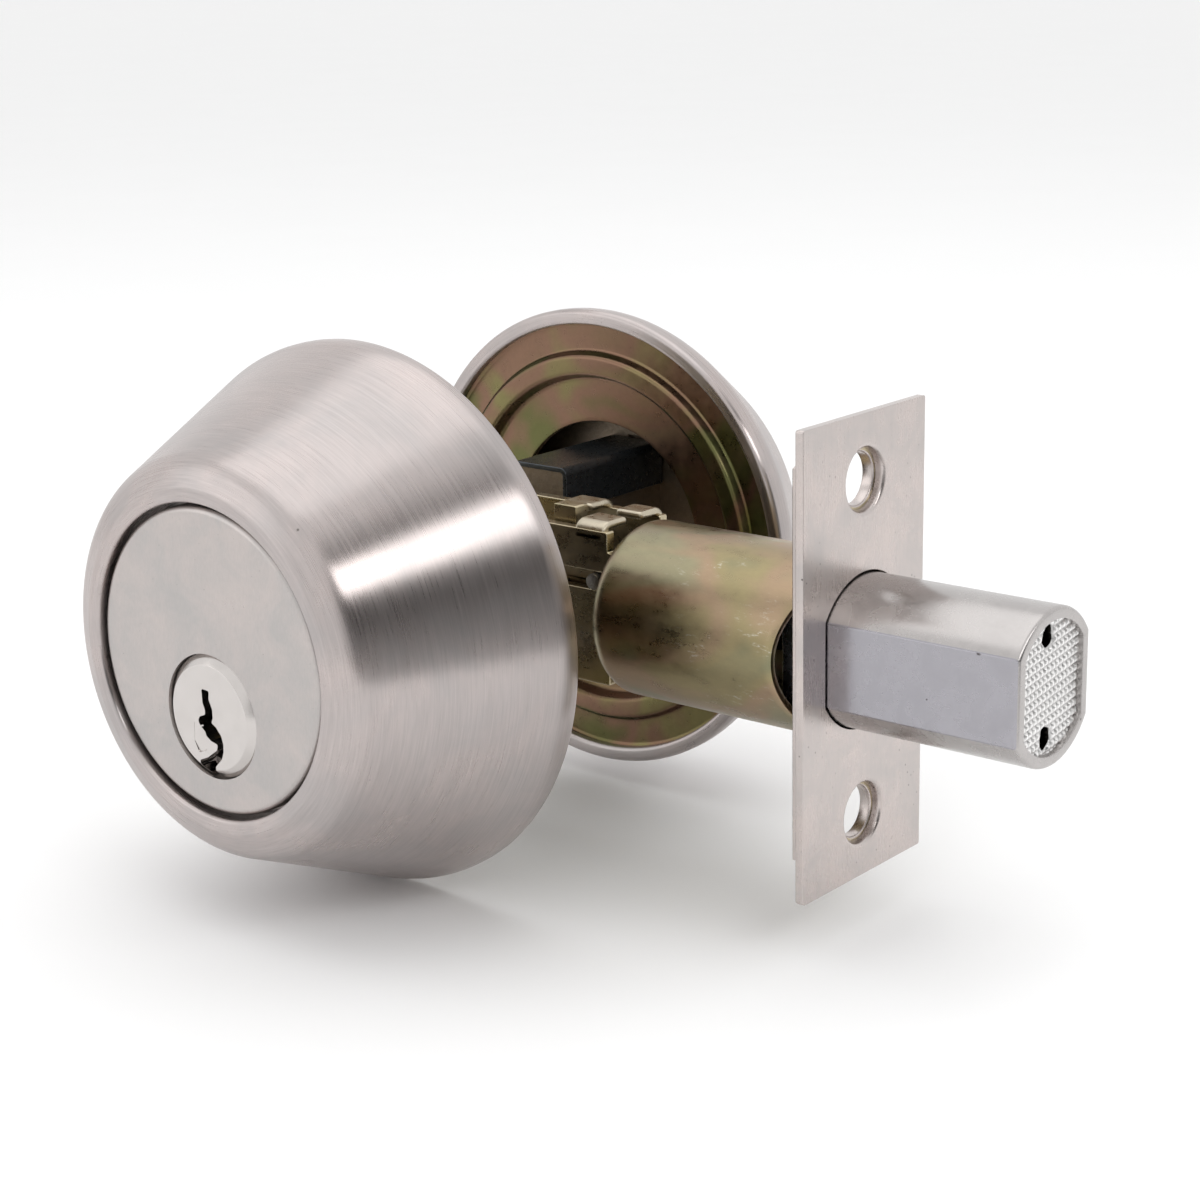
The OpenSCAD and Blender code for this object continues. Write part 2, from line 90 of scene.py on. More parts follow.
def fillet(points, radii, n=6, closed=True):
    """A polyline with its corners rounded."""
    points = [np.array(p, float) for p in points]
    radii = [radii] * len(points) if np.isscalar(radii) else list(radii)
    out = []
    for i, p in enumerate(points):
        if radii[i] <= 0 or (not closed and i in (0, len(points) - 1)):
            out.append(p)
            continue
        a, b = points[i - 1] - p, points[(i + 1) % len(points)] - p
        la, lb = np.hypot(*a), np.hypot(*b)
        a, b = a / la, b / lb
        half = math.acos(max(-1.0, min(1.0, float(a @ b)))) / 2
        if half > math.radians(89):
            out.append(p)
            continue
        reach = min(radii[i] / math.tan(half), 0.49 * la, 0.49 * lb)
        r = reach * math.tan(half)
        m = a + b
        c = p + m / np.hypot(*m) * r / math.sin(half)
        s, e = p + a * reach - c, p + b * reach - c
        t0 = math.atan2(s[1], s[0])
        turn = (math.atan2(e[1], e[0]) - t0 + math.pi) % (2 * math.pi) - math.pi
        steps = t0 + turn * np.linspace(0, 1, n + 1)
        out += list(c + r * np.column_stack([np.cos(steps), np.sin(steps)]))
    return np.array(out)


def circle(r, centre=(0, 0), n=64):
    return arc(centre, r, 0, 360, n)[:-1]


def spread(points, step):
    """The same open polyline with extra points, so that no stretch is longer than step."""
    out = [points[0]]
    for p, q in zip(points[:-1], points[1:]):
        k = max(1, int(np.ceil(np.hypot(*np.subtract(q, p)) / step)))
        out += [np.add(p, np.subtract(q, p) * (i + 1) / k) for i in range(k)]
    return np.array(out)


# ---------- meshes ----------


def new_object(name, verts, faces, origin=(0, 0, 0)):
    """A mesh object from mm points, with its own origin."""
    mesh = bpy.data.meshes.new(name)
    own = (np.asarray(verts, float) - np.array(origin, float)) * MM
    mesh.from_pydata([tuple(v) for v in own], [], faces)
    mesh.validate()
    obj = bpy.data.objects.new(name, mesh)
    obj.location = Vector(origin) * MM
    bpy.context.scene.collection.objects.link(obj)
    return obj


def face_outwards(obj):
    """The object with doubled points merged and its faces turned outwards."""
    bm = bmesh.new()
    bm.from_mesh(obj.data)
    bmesh.ops.remove_doubles(bm, verts=bm.verts, dist=1e-7)
    bmesh.ops.recalc_face_normals(bm, faces=bm.faces)
    bm.to_mesh(obj.data)
    bm.free()
    return obj


def loft(loops, wrap=False):
    """Points and faces of a skin over loops of equal length, closed at both ends or wrapped round."""
    n, faces = len(loops[0]), []
    pairs = [(i, i + 1) for i in range(len(loops) - 1)] + ([(len(loops) - 1, 0)] if wrap else [])
    for i, j in pairs:
        faces += [(i * n + k, i * n + (k + 1) % n, j * n + (k + 1) % n, j * n + k) for k in range(n)]
    if not wrap:
        faces += [tuple(range(n))[::-1], tuple((len(loops) - 1) * n + k for k in range(n))]
    return np.vstack(loops), faces


def turned(section, side, y0, x=AXIS_X, z=0.0, n=192):
    """Loops of a section (radius, height) about a line along Y; side is the sign of +height in Y."""
    t = np.linspace(0, 2 * np.pi, n, endpoint=False)
    c, s = np.cos(t), np.sin(t)
    return [np.column_stack([x + r * c, np.full(n, y0 + side * h), z + r * s]) for r, h in section]


def shade(obj, angle=35, weighted=True):
    """Smooth shading with sharp edges kept, and normals led by the large faces."""
    obj.data.polygons.foreach_set("use_smooth", [True] * len(obj.data.polygons))
    obj.data.set_sharp_from_angle(angle=math.radians(angle))
    if weighted:
        m = obj.modifiers.new("normals", "WEIGHTED_NORMAL")
        m.keep_sharp = True
        m.weight = 80


def baked(obj, name=None):
    """The object with its modifiers, or a curve, turned into a plain mesh."""
    bpy.context.view_layer.update()
    mesh = bpy.data.meshes.new_from_object(obj.evaluated_get(bpy.context.evaluated_depsgraph_get()))
    made = bpy.data.objects.new(name or obj.name + "_mesh", mesh)
    made.matrix_world = obj.matrix_world.copy()
    bpy.context.scene.collection.objects.link(made)
    bpy.data.objects.remove(obj)
    return made


def cut_away(obj, *cutters):
    """The object with each cutter's shape taken out of it; the cutters are removed."""
    name = obj.name
    for c in cutters:
        m = obj.modifiers.new("cut", "BOOLEAN")
        m.operation, m.solver, m.object = "DIFFERENCE", "EXACT", c
    made = baked(obj, name + "_cut")
    for c in cutters:
        bpy.data.objects.remove(c)
    made.name = name
    return made


AXES = {
    "x": lambda u, v, w: (w, u, v),
    "y": lambda u, v, w: (u, -w, v),
    "z": lambda u, v, w: (u, v, w),
}


def plate(name, outlines, low, high, axis, bevel):
    """A flat piece with holes and rounded edges: closed outlines, thick from low to high along an axis."""
    curve = bpy.data.curves.new(name, "CURVE")
    curve.dimensions, curve.fill_mode = "2D", "BOTH"
    for points in outlines:
        s = curve.splines.new("POLY")
        s.points.add(len(points) - 1)
        s.points.foreach_set("co", [c for p in points for c in (p[0], p[1], 0, 1)])
        s.use_cyclic_u = True
    curve.extrude = (high - low) / 2 - bevel
    curve.bevel_depth, curve.bevel_resolution, curve.offset = bevel, 2, -bevel
    obj = bpy.data.objects.new(name + "_curve", curve)
    bpy.context.scene.collection.objects.link(obj)
    flat = baked(obj, name)
    co = np.zeros(len(flat.data.vertices) * 3)
    flat.data.vertices.foreach_get("co", co)
    u, v, w = co.reshape(-1, 3).T
    middle = (high + low) / 2
    w = w + (middle if axis != "y" else -middle)
    flat.data.vertices.foreach_set("co", (np.column_stack(AXES[axis](u, v, w)) * MM).ravel())
    return face_outwards(flat)


def prism(name, outline, low, high):
    """A closed outline in X and Z made thick along Y, for cutting."""
    loops = [np.column_stack([outline[:, 0], np.full(len(outline), y), outline[:, 1]]) for y in (low, high)]
    return face_outwards(new_object(name, *loft(loops)))


def joined(name, objs):
    """Several meshes as one piece; they keep their materials."""
    verts, faces, mats, index = [], [], [], []
    base = 0
    for o in objs:
        offset = len(mats)
        mats += [s.material for s in o.material_slots] or [None]
        verts += [o.matrix_world @ v.co for v in o.data.vertices]
        for p in o.data.polygons:
            faces.append(tuple(base + i for i in p.vertices))
            index.append(offset + p.material_index)
        base = len(verts)
        bpy.data.objects.remove(o)
    mesh = bpy.data.meshes.new(name)
    mesh.from_pydata([tuple(v) for v in verts], [], faces)
    for m in mats:
        mesh.materials.append(m)
    mesh.polygons.foreach_set("material_index", index)
    made = bpy.data.objects.new(name, mesh)
    bpy.context.scene.collection.objects.link(made)
    return made


def bevelled(obj, width, segments=2, angle=35):
    """The object with its edges rounded by a modifier; the width is in mm."""
    m = obj.modifiers.new("edges", "BEVEL")
    m.width, m.segments, m.limit_method, m.angle_limit = width * MM, segments, "ANGLE", math.radians(angle)
    m.miter_outer = "MITER_ARC"
    return obj


def finish_piece(obj, body, nodes, material=None, angle=35, weighted=True):
    """Material, shading and body of a new piece, with the CAD nodes it stands for hidden."""
    if material is not None:
        obj.data.materials.clear()
        obj.data.materials.append(material)
    shade(obj, angle, weighted)
    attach(obj, body)
    if nodes:
        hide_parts(*nodes)


def dress_node(name, material, width):
    """A CAD node kept as it is, with softened edges and its own material."""
    obj = frame["nodes"][name]
    weld = obj.modifiers.new("weld", "WELD")
    weld.merge_threshold = 1e-7
    if width:
        bevelled(obj, width, angle=40)
    m = obj.modifiers.new("normals", "WEIGHTED_NORMAL")
    m.keep_sharp = False
    obj.data.polygons.foreach_set("use_smooth", [True] * len(obj.data.polygons))
    obj.material_slots[0].material = material


# ---------- material nodes ----------


class Tree:
    """A material's node tree, with short calls for the nodes used here. Coordinates are in mm."""

    def __init__(self, name, metallic=1.0, roughness=0.3, anisotropic=0.0):
        self.material = bpy.data.materials.new(name)
        self.material.use_nodes = True
        self.nodes, self.links = self.material.node_tree.nodes, self.material.node_tree.links
        self.nodes.clear()
        out = self.nodes.new("ShaderNodeOutputMaterial")
        self.shader = self.nodes.new("ShaderNodeBsdfPrincipled")
        self.links.new(self.shader.outputs[0], out.inputs[0])
        self.shader.inputs["Metallic"].default_value = metallic
        self.shader.inputs["Roughness"].default_value = roughness
        self.shader.inputs["Anisotropic"].default_value = anisotropic
        coord = self.nodes.new("ShaderNodeTexCoord")
        self.place = self.vector("MULTIPLY", coord.outputs["Object"], (1 / MM,) * 3)

    def add(self, kind, inputs=(), **props):
        n = self.nodes.new(kind)
        for k, v in props.items():
            setattr(n, k, v)
        for k, v in dict(inputs).items():
            if isinstance(v, bpy.types.NodeSocket):
                self.links.new(v, n.inputs[k])
            else:
                n.inputs[k].default_value = v
        return n

    def vector(self, op, a, b=(0, 0, 0)):
        n = self.add("ShaderNodeVectorMath", {0: a, 1: b}, operation=op)
        return n.outputs["Value" if op in ("LENGTH", "DOT_PRODUCT", "DISTANCE") else "Vector"]

    def math(self, op, a, b=0.0, clamp=False):
        return self.add("ShaderNodeMath", {0: a, 1: b}, operation=op, use_clamp=clamp).outputs[0]

    def parts(self, v):
        return self.add("ShaderNodeSeparateXYZ", {0: v}).outputs

    def joinxyz(self, x=0.0, y=0.0, z=0.0):
        return self.add("ShaderNodeCombineXYZ", {0: x, 1: y, 2: z}).outputs[0]

    def noise(self, v, scale=1.0, detail=2.0, rough=0.5, distortion=0.0):
        ins = {"Vector": v, "Scale": scale, "Detail": detail, "Roughness": rough, "Distortion": distortion}
        return self.add("ShaderNodeTexNoise", ins).outputs[0]

    def cells(self, v, scale):
        return self.add("ShaderNodeTexVoronoi", {"Vector": v, "Scale": scale}).outputs["Distance"]

    def rescale(self, v, low, high, from_low=0.3, from_high=0.7):
        """A value from one range brought into another, and held at its ends."""
        ins = {"Value": v, 1: from_low, 2: from_high, 3: low, 4: high}
        return self.add("ShaderNodeMapRange", ins).outputs[0]

    def darkened(self, colour, where, amount, top=0.7):
        """The colour, multiplied by amount where the value is low."""
        shade_of = self.mix(1.0, colour, rgba(amount), "MULTIPLY")
        return self.mix(self.ramp(where, [(0.3, 0.0), (top, 1.0)]), shade_of, colour)

    def ramp(self, v, stops, smooth=False):
        n = self.add("ShaderNodeValToRGB", {0: v})
        n.color_ramp.interpolation = "EASE" if smooth else "LINEAR"
        e = n.color_ramp.elements
        while len(e) < len(stops):
            e.new(0.5)
        for k, (at, c) in enumerate(stops):
            e[k].position = at
            e[k].color = (c, c, c, 1) if np.isscalar(c) else (*c, 1)
        return n.outputs[0]

    def mix(self, factor, a, b, mode="MIX"):
        n = self.add("ShaderNodeMix", {0: factor, 6: a, 7: b}, data_type="RGBA", blend_type=mode)
        return n.outputs[2]

    def bump(self, height, depth, normal=None):
        ins = {"Height": height, "Distance": depth * MM, "Strength": 1.0}
        if normal is not None:
            ins["Normal"] = normal
        return self.add("ShaderNodeBump", ins).outputs[0]

    def set(self, **sockets):
        for k, v in sockets.items():
            k = k.replace("_", " ")
            if isinstance(v, bpy.types.NodeSocket):
                self.links.new(v, self.shader.inputs[k])
            else:
                self.shader.inputs[k].default_value = v
        return self.material


def rgba(c):
    return (*c, 1.0)


def brush_round(t):
    """Coordinates of brushing that runs round the cylinders' axis: across the lines, then along them."""
    x, y, z = t.parts(t.place)
    r = t.vector("LENGTH", t.joinxyz(x, 0.0, z))
    across = t.math("SUBTRACT", r, t.math("ABSOLUTE", y))
    turn = t.vector("DIVIDE", t.joinxyz(x, 0.0, z), t.joinxyz(r, 1.0, r))
    return across, turn


def nickel_range(tint):
    """The warmer light tone and the darker tone that nickel plate drifts between."""
    return rgba(np.multiply(tint, (1.05, 1.0, 0.985))), rgba(np.multiply(tint, (0.93, 0.925, 0.925)))


def satin_round(name, tint):
    """Nickel sheet brushed round its own axis, with fine streaks, faint blotches and a few pits."""
    t = Tree(name, roughness=0.27, anisotropic=0.75)
    across, turn = brush_round(t)

    def streaks(per_mm, around):
        line = t.joinxyz(0.0, t.math("MULTIPLY", across, per_mm), 0.0)
        along = t.vector("MULTIPLY", turn, (around, 0, around))
        return t.noise(t.vector("ADD", along, line), 1.0, 3.5, 0.6)

    fine, broad = t.math("MULTIPLY", streaks(4.6, 5.0), 0.6), t.math("MULTIPLY", streaks(1.9, 3.0), 0.4)
    lines = t.math("ADD", fine, broad)
    blotch = t.noise(t.place, 0.07, 4.0, 0.62, 0.6)
    colour = t.mix(t.ramp(blotch, [(0.36, 0.0), (0.64, 1.0)]), *nickel_range(tint))
    colour = t.darkened(colour, lines, (0.78, 0.78, 0.78))
    pits = t.ramp(t.cells(t.place, 0.13), [(0.016, 0.0), (0.027, 1.0)])
    colour = t.mix(pits, rgba((0.20, 0.18, 0.17)), colour)
    blend = t.math("ADD", t.math("MULTIPLY", lines, 0.5), t.math("MULTIPLY", blotch, 0.5))
    rough = t.rescale(blend, 0.23, 0.35)
    tangent = t.add("ShaderNodeTangent", direction_type="RADIAL", axis="Y").outputs[0]
    t.set(Tangent=tangent, Anisotropic_Rotation=0.25)
    return t.set(Base_Color=colour, Roughness=rough, Normal=t.bump(lines, 0.0045))


def satin_flat(t, tint, stretch, roughness, pit, line):
    """Colour, roughness and normal of worn nickel plate, with brush lines, blotches and small dark pits."""
    lines = t.noise(t.vector("MULTIPLY", t.place, stretch), 1.0, 3.0, 0.6, 0.3)
    blotch = t.noise(t.place, 0.13, 5.0, 0.66, 0.5)
    colour = t.mix(t.ramp(blotch, [(0.36, 0.0), (0.64, 1.0)]), *nickel_range(tint))
    colour = t.darkened(colour, lines, (1 - line,) * 3)
    where = t.ramp(t.noise(t.place, 0.16, 2.0), [(0.44, 0.0), (0.62, 1.0)])
    specks = t.math("MULTIPLY", t.ramp(t.cells(t.place, 0.8), [(pit, 1.0), (pit + 0.035, 0.0)]), where)
    spots = t.ramp(t.cells(t.place, 0.2), [(0.018, 1.0), (0.03, 0.0)])
    pits = t.math("MAXIMUM", t.math("MULTIPLY", specks, 0.6), spots)
    colour = t.mix(pits, colour, rgba((0.10, 0.09, 0.085)))
    mixed = t.math("ADD", t.math("MULTIPLY", lines, 0.4), t.math("MULTIPLY", blotch, 0.6))
    rough = t.rescale(mixed, roughness - 0.05, roughness + 0.08)
    return colour, rough, t.bump(t.math("SUBTRACT", mixed, t.math("MULTIPLY", pits, 2.0)), 0.006)


def plate_nickel(name, tint):
    """Faceplate: brushed up and down."""
    t = Tree(name, roughness=0.31)
    colour, rough, normal = satin_flat(t, tint, (4.0, 4.0, 0.14), 0.27, 0.075, 0.045)
    return t.set(Base_Color=colour, Roughness=rough, Normal=normal)


def cylinder_metal(name, tint, skin_y):
    """Satin nickel on the face of a lock cylinder, bare tan cast zinc on the body behind it."""
    t = Tree(name, roughness=0.33)
    colour, rough, normal = satin_flat(t, tint, (4.5, 4.5, 1.3), 0.31, 0.03, 0.07)
    _, y, _ = t.parts(t.place)
    bare = t.math("LESS_THAN", t.math("ABSOLUTE", y), skin_y)
    grit = t.noise(t.place, 1.4, 4.0, 0.65)
    cast = t.mix(grit, rgba((0.24, 0.19, 0.14)), rgba((0.40, 0.33, 0.26)))
    rough = t.math("ADD", rough, t.math("MULTIPLY", bare, 0.16))
    normal = t.bump(t.math("MULTIPLY", bare, grit), 0.08, normal)
    return t.set(Base_Color=t.mix(bare, colour, cast), Roughness=rough, Normal=normal)


def polished_nickel(name):
    """The key plug: brighter plate with faint hand-made scratches."""
    t = Tree(name, roughness=0.17)
    scratches = t.noise(t.vector("MULTIPLY", t.place, (6.0, 6.0, 1.2)), 1.0, 2.0, 0.6, 0.8)
    haze = t.noise(t.place, 0.5, 3.0)
    colour = t.mix(haze, rgba((0.54, 0.51, 0.49)), rgba((0.64, 0.605, 0.585)))
    rough = t.rescale(haze, 0.12, 0.24)
    return t.set(Base_Color=colour, Roughness=rough, Normal=t.bump(scratches, 0.004))


def yellow_zinc(name, tints, scale, seed, roughness=0.3, stretch=(1, 1, 1), scuffs=0.0, sheen_shift=0.35):
    """Yellow zinc plate: tints that drift into each other and shift with the facing angle as a painted sheen, a
    few pits, and scuffs near the faceplate.
    """
    t = Tree(name, roughness=roughness)
    at = t.vector("ADD", t.vector("MULTIPLY", t.place, stretch), (seed, 2.3 * seed, 5.1 * seed))
    drift = t.noise(at, scale, 2.0, 0.5, 1.0)
    # The tint moves along the ramp with the facing angle: painted sheen.
    facing = t.add("ShaderNodeLayerWeight", {"Blend": 0.45}).outputs["Facing"]
    swing = t.math("MULTIPLY", t.math("SUBTRACT", drift, 0.5), 1.8)
    tone = t.math("ADD", swing, t.math("MULTIPLY", facing, sheen_shift))
    tint = t.ramp(t.math("ADD", tone, 0.42), tints, smooth=True)
    cloud = t.noise(at, 0.5, 5.0, 0.7)
    tint = t.darkened(tint, cloud, (0.78, 0.78, 0.80), top=0.75)
    pits = t.ramp(t.cells(t.place, 0.15), [(0.012, 1.0), (0.022, 0.0)])
    tint = t.mix(pits, tint, rgba((0.05, 0.045, 0.04)))
    rough = t.rescale(cloud, roughness - 0.06, roughness + 0.1)
    if scuffs:
        patch = t.ramp(t.noise(at, 0.16, 2.0), [(0.50, 0.0), (0.64, 1.0)])
        flecks = t.noise(t.vector("MULTIPLY", at, (0.9, 0.9, 1.6)), 1.1, 8.0, 0.8, 0.2)
        marks = t.ramp(flecks, [(0.57, 0.0), (0.63, 1.0)])
        x, _, _ = t.parts(t.place)
        by_plate = t.rescale(x, 0.0, scuffs, -26.0, -9.0)
        worn = t.math("MULTIPLY", t.math("MULTIPLY", patch, marks), by_plate)
        tint = t.mix(worn, tint, rgba((0.70, 0.67, 0.60)))
    return t.set(Base_Color=tint, Roughness=rough, Normal=t.bump(cloud, 0.005))


def zinc_ring(name, seed):
    olive, tan, pink = (0.17, 0.21, 0.07), (0.235, 0.205, 0.09), (0.25, 0.15, 0.10)
    moss, brown = (0.15, 0.15, 0.06), (0.21, 0.135, 0.09)
    tints = [(0.0, olive), (0.28, tan), (0.5, pink), (0.72, moss), (1.0, brown)]
    return yellow_zinc(name, tints, 0.045, seed, sheen_shift=0.4)


def zinc_tube(name):
    olive, tan, pink = (0.26, 0.25, 0.15), (0.36, 0.30, 0.165), (0.40, 0.29, 0.19)
    sand, brown = (0.33, 0.30, 0.19), (0.37, 0.26, 0.20)
    tints = [(0.0, olive), (0.28, tan), (0.5, pink), (0.72, sand), (1.0, brown)]
    return yellow_zinc(name, tints, 0.07, 3.7, stretch=(0.55, 1, 1), scuffs=0.75, sheen_shift=0.3)


def zinc_frame(name):
    # These tints are the yellow zinc lifted well above the ring and tube tints, to make up for the collar's shade
    # on the frame: painted light.
    tints = [(0.0, (0.45, 0.42, 0.25)), (0.5, (0.58, 0.50, 0.34)), (1.0, (0.52, 0.44, 0.32))]
    return yellow_zinc(name, tints, 0.12, 8.1, roughness=0.28, stretch=(0.6, 1, 1))


def bolt_plate(name, flat_y):
    """Grey plating of the bolt: bluish flats, faint swirl marks and small dark pits along the creases."""
    t = Tree(name, roughness=0.27)
    _, y, z = t.parts(t.place)
    cloud = t.noise(t.place, 0.25, 5.0, 0.65, 0.4)
    warp = t.add("ShaderNodeTexNoise", {"Vector": t.place, "Scale": 0.10, "Detail": 1.0}).outputs[1]
    swirl_at = t.vector("ADD", t.place, t.vector("MULTIPLY", warp, (9, 9, 9)))
    ring_inputs = {"Vector": swirl_at, "Scale": 1.1, "Distortion": 1.5, "Detail": 1.0}
    wave = t.add("ShaderNodeTexWave", ring_inputs, wave_type="RINGS").outputs[1]
    patch = t.ramp(t.noise(t.place, 0.2, 1.0), [(0.5, 0.0), (0.62, 1.0)])
    swirl = t.math("MULTIPLY", wave, patch)
    flat = t.math("GREATER_THAN", t.math("ABSOLUTE", y), flat_y)
    base = t.mix(flat, rgba((0.49, 0.467, 0.457)), rgba((0.40, 0.39, 0.42)))
    colour = t.darkened(base, cloud, (0.86, 0.86, 0.86))
    from_crease = t.math("ABSOLUTE", t.math("SUBTRACT", t.math("ABSOLUTE", z), 5.1))
    edge = t.ramp(from_crease, [(0.25, 1.0), (0.8, 0.0)])
    pits = t.ramp(t.cells(t.vector("MULTIPLY", t.place, (0.6, 1, 1)), 0.8), [(0.10, 1.0), (0.18, 0.0)])
    gate = t.ramp(t.noise(t.place, 0.35, 2.0), [(0.52, 0.0), (0.6, 1.0)])
    few = t.ramp(t.cells(t.place, 0.2), [(0.018, 1.0), (0.028, 0.0)])
    pitted = t.math("MAXIMUM", t.math("MULTIPLY", t.math("MULTIPLY", pits, edge), gate), few)
    colour = t.mix(pitted, colour, rgba((0.08, 0.07, 0.07)))
    rough = t.rescale(cloud, 0.20, 0.34, from_high=0.75)
    relief = t.math("ADD", t.math("MULTIPLY", swirl, 0.10), cloud)
    relief = t.math("SUBTRACT", relief, t.math("MULTIPLY", pitted, 3.0))
    return t.set(Base_Color=colour, Roughness=rough, Normal=t.bump(relief, 0.008))


def bolt_end_painted_light(name, tip):
    """Bolt's end: raised dots painted near white as a painted highlight on greyer ground, and slots painted nearly
    black as painted shade.
    """
    t = Tree(name, roughness=0.3)
    x, _, _ = t.parts(t.place)
    ground = tip - FACE_SUNK
    raised = t.rescale(x, 0.0, 1.0, ground - 0.02, ground + 0.24)
    sunk = t.math("LESS_THAN", x, ground - 0.1)
    # The raised dots get a near-white colour: painted highlight.
    colour = t.mix(raised, rgba((0.50, 0.49, 0.485)), rgba((0.93, 0.92, 0.91)))
    # Everything below the ground is painted nearly black: painted shade in the slots.
    colour = t.mix(sunk, colour, rgba((0.008, 0.007, 0.006)))
    rough = t.rescale(t.noise(t.place, 0.8, 3.0), 0.28, 0.42)
    return t.set(Base_Color=colour, Roughness=rough)


def plain_steel(name, tint, roughness=0.32, grain=3.0):
    t = Tree(name, roughness=roughness)
    grit = t.noise(t.place, grain, 4.0, 0.65)
    cloud = t.noise(t.place, 0.3, 2.0)
    colour = t.mix(cloud, rgba(np.multiply(tint, 0.84)), rgba(tint))
    rough = t.rescale(grit, roughness - 0.08, roughness + 0.12)
    return t.set(Base_Color=colour, Roughness=rough, Normal=t.bump(grit, 0.006))


def spun_inside(name):
    """Bare inside of a spun shell, painted nearly black as painted shade of the hollow, with turned lines round
    its axis.
    """
    t = Tree(name, roughness=0.36)
    across, _ = brush_round(t)
    rings = t.noise(t.joinxyz(0.0, t.math("MULTIPLY", across, 0.9), 0.0), 1.0, 2.0, 0.6)
    cloud = t.noise(t.place, 0.25, 3.0)
    # The near-black colours stand for the shade inside the hollow: painted shade.
    colour = t.mix(t.math("MULTIPLY", rings, cloud), rgba((0.05, 0.04, 0.033)), rgba((0.20, 0.17, 0.14)))
    rough = t.rescale(cloud, 0.28, 0.45)
    return t.set(Base_Color=colour, Roughness=rough, Normal=t.bump(rings, 0.12))


def dark_sheet(name):
    """Blued dark grey sheet of the pin covers."""
    t = Tree(name, metallic=0.85, roughness=0.32)
    cloud = t.noise(t.place, 0.4, 3.0, 0.6)
    colour = t.mix(cloud, rgba((0.04, 0.045, 0.05)), rgba((0.10, 0.11, 0.12)))
    rough = t.rescale(t.noise(t.place, 2.0, 3.0), 0.24, 0.42)
    return t.set(Base_Color=colour, Roughness=rough, Normal=t.bump(cloud, 0.03))


FACE_SUNK = 0.9
NICKEL = (0.525, 0.487, 0.477)
FACE_NICKEL = (0.50, 0.478, 0.466)


def face_skin(cylinder):
    """How far out in Y the nickel skin of a cylinder's face begins."""
    low, high = box_mm(cylinder)
    return max(abs(low[1]), abs(high[1])) - 5.0


MATS = {
    "collar": satin_round("satin_nickel_round", NICKEL),
    "inside": spun_inside("bare_inside_painted_shade"),
    "face_out": cylinder_metal("outer_cylinder_metal", FACE_NICKEL, face_skin("outer_cylinder_body")),
    "face_in": cylinder_metal("inner_cylinder_metal", FACE_NICKEL, face_skin("inner_cylinder_body")),
    "trim": plate_nickel("satin_nickel_plate", np.multiply(FACE_NICKEL, (1.14, 1.11, 1.10))),
    "plug": polished_nickel("polished_nickel"),
    "ring_out": zinc_ring("yellow_zinc_ring_outer", 1.3),
    "ring_in": zinc_ring("yellow_zinc_ring_inner", 4.9),
    "tube": zinc_tube("yellow_zinc_tube"),
    "frame": zinc_frame("yellow_zinc_frame_painted_light"),
    "bolt": bolt_plate("grey_zinc_plate", box_mm("bolt")[1][1] - 0.12),
    "bolt_end": bolt_end_painted_light("grey_zinc_end_painted_light", box_mm("bolt")[1][0]),
    "tab": plain_steel("worn_tab", (0.56, 0.50, 0.39), roughness=0.3, grain=0.7),
    "steel": plain_steel("plain_steel", (0.50, 0.49, 0.47)),
    "spring": plain_steel("spring_steel", (0.42, 0.43, 0.46), roughness=0.22),
    "brass": plain_steel("turned_brass", (0.74, 0.56, 0.26), roughness=0.25),
    "cover": dark_sheet("dark_blued_sheet"),
}


# ---------- collars and backing plates ----------

LIP_R = 19.5
SHEET = 1.2
BASE_R, SHOULDER_R, ROLL_R, LIP_EDGE = 5.0, 4.0, 1.5, 0.45
RIM_W, RIM_H = 2.1, 1.2
LIP_DEPTH = 3.95
COLLAR_STEPS = 256


def collar_path(r, h, depth, n):
    """One face of the collar sheet from the door to the lip, as arcs joined by straight runs."""
    c1, c2, c3 = (r - BASE_R, 1.4), (LIP_R + 2, h - ROLL_R - 2.9), (LIP_R + ROLL_R, h - ROLL_R)
    a1 = tangent_angle(c1, BASE_R, c2, SHOULDER_R)
    a2 = tangent_angle(c2, SHOULDER_R, c3, ROLL_R)
    roll = [arc(c3, ROLL_R - depth, a2, 180, n)]
    if depth == 0:
        roll = [arc(c3, ROLL_R, a2, 90, n), arc((LIP_R + LIP_EDGE, h - LIP_EDGE), LIP_EDGE, 90, 180, 8)]
    flank = [arc(c1, BASE_R - depth, 0, a1, n), arc(c2, SHOULDER_R - depth, a1, a2, n)]
    return spread(np.vstack(flank + roll), 1.2)


def collar_section(r, h):
    """Closed section of the shell, and which of its stretches lie inside it."""
    lip_end = h - LIP_DEPTH
    lip_edge = [(LIP_R, lip_end + 0.2), (LIP_R + 0.2, lip_end), (LIP_R + SHEET, lip_end)]
    outside = np.vstack([collar_path(r, h, 0, 20), lip_edge])
    inside = np.vstack([collar_path(r, h, SHEET, 12)[::-1], [(r - SHEET, RIM_H + 0.05)]])
    hem = fillet([(r - RIM_W, RIM_H), (r - RIM_W, 0), (r, 0), (r, 1.4)], [0, 0.75, 0.95, 0], 6, closed=False)
    return np.vstack([outside, inside, hem[:-1]]), range(len(outside) - 1, len(outside) + len(inside))


def build_collar(name, side):
    low, high = box_mm(name)
    r, h = (high[0] - low[0]) / 2, high[1] - low[1]
    door = high[1] if side < 0 else low[1]
    section, hidden = collar_section(r, h)
    skin = loft(turned(section, side, door, n=COLLAR_STEPS), wrap=True)
    obj = new_object(name + "_shell", *skin, origin=(AXIS_X, 0, 0))
    obj.data.materials.append(MATS["collar"])
    obj.data.materials.append(MATS["inside"])
    faces = obj.data.polygons
    # The stretches inside the shell get the nearly black material: painted shade.
    faces.foreach_set("material_index", [int(f.index // COLLAR_STEPS in hidden) for f in faces])
    finish_piece(face_outwards(obj), "lock_case", [name], angle=60, weighted=False)


